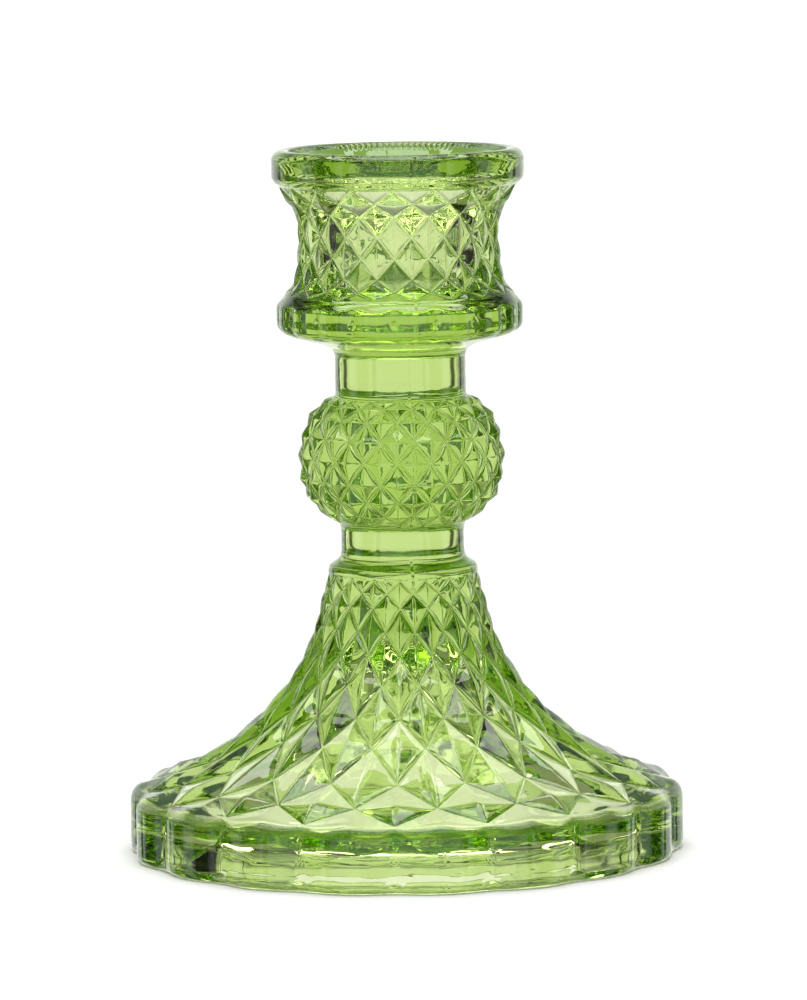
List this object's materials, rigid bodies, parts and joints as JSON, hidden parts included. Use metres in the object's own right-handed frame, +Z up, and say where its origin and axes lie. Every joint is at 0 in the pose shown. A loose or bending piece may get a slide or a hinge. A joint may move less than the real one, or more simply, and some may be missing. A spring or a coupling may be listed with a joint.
{
  "type": "glass candlestick",
  "caption": "Pressed-glass candlestick with a diamond-cut socket, knop and flared scalloped foot, for one taper candle.",
  "frame": {"origin": "on the candlestick's axis, on the surface that the foot stands on", "axes": "+Z up along the axis, out of the candle bore; one valley between lobes of the foot faces -Y"},
  "size_m": [0.083, 0.0822, 0.105],
  "materials": {
    "green_glass": "clear yellow-green soda-lime glass, fire-polished"
  },
  "bodies": {
    "root": {"foot": "green_glass", "collar": "green_glass", "lower_stem": "green_glass", "knop": "green_glass", "upper_stem": "green_glass", "socket": "green_glass", "lip": "green_glass"}
  },
  "joints": []
}
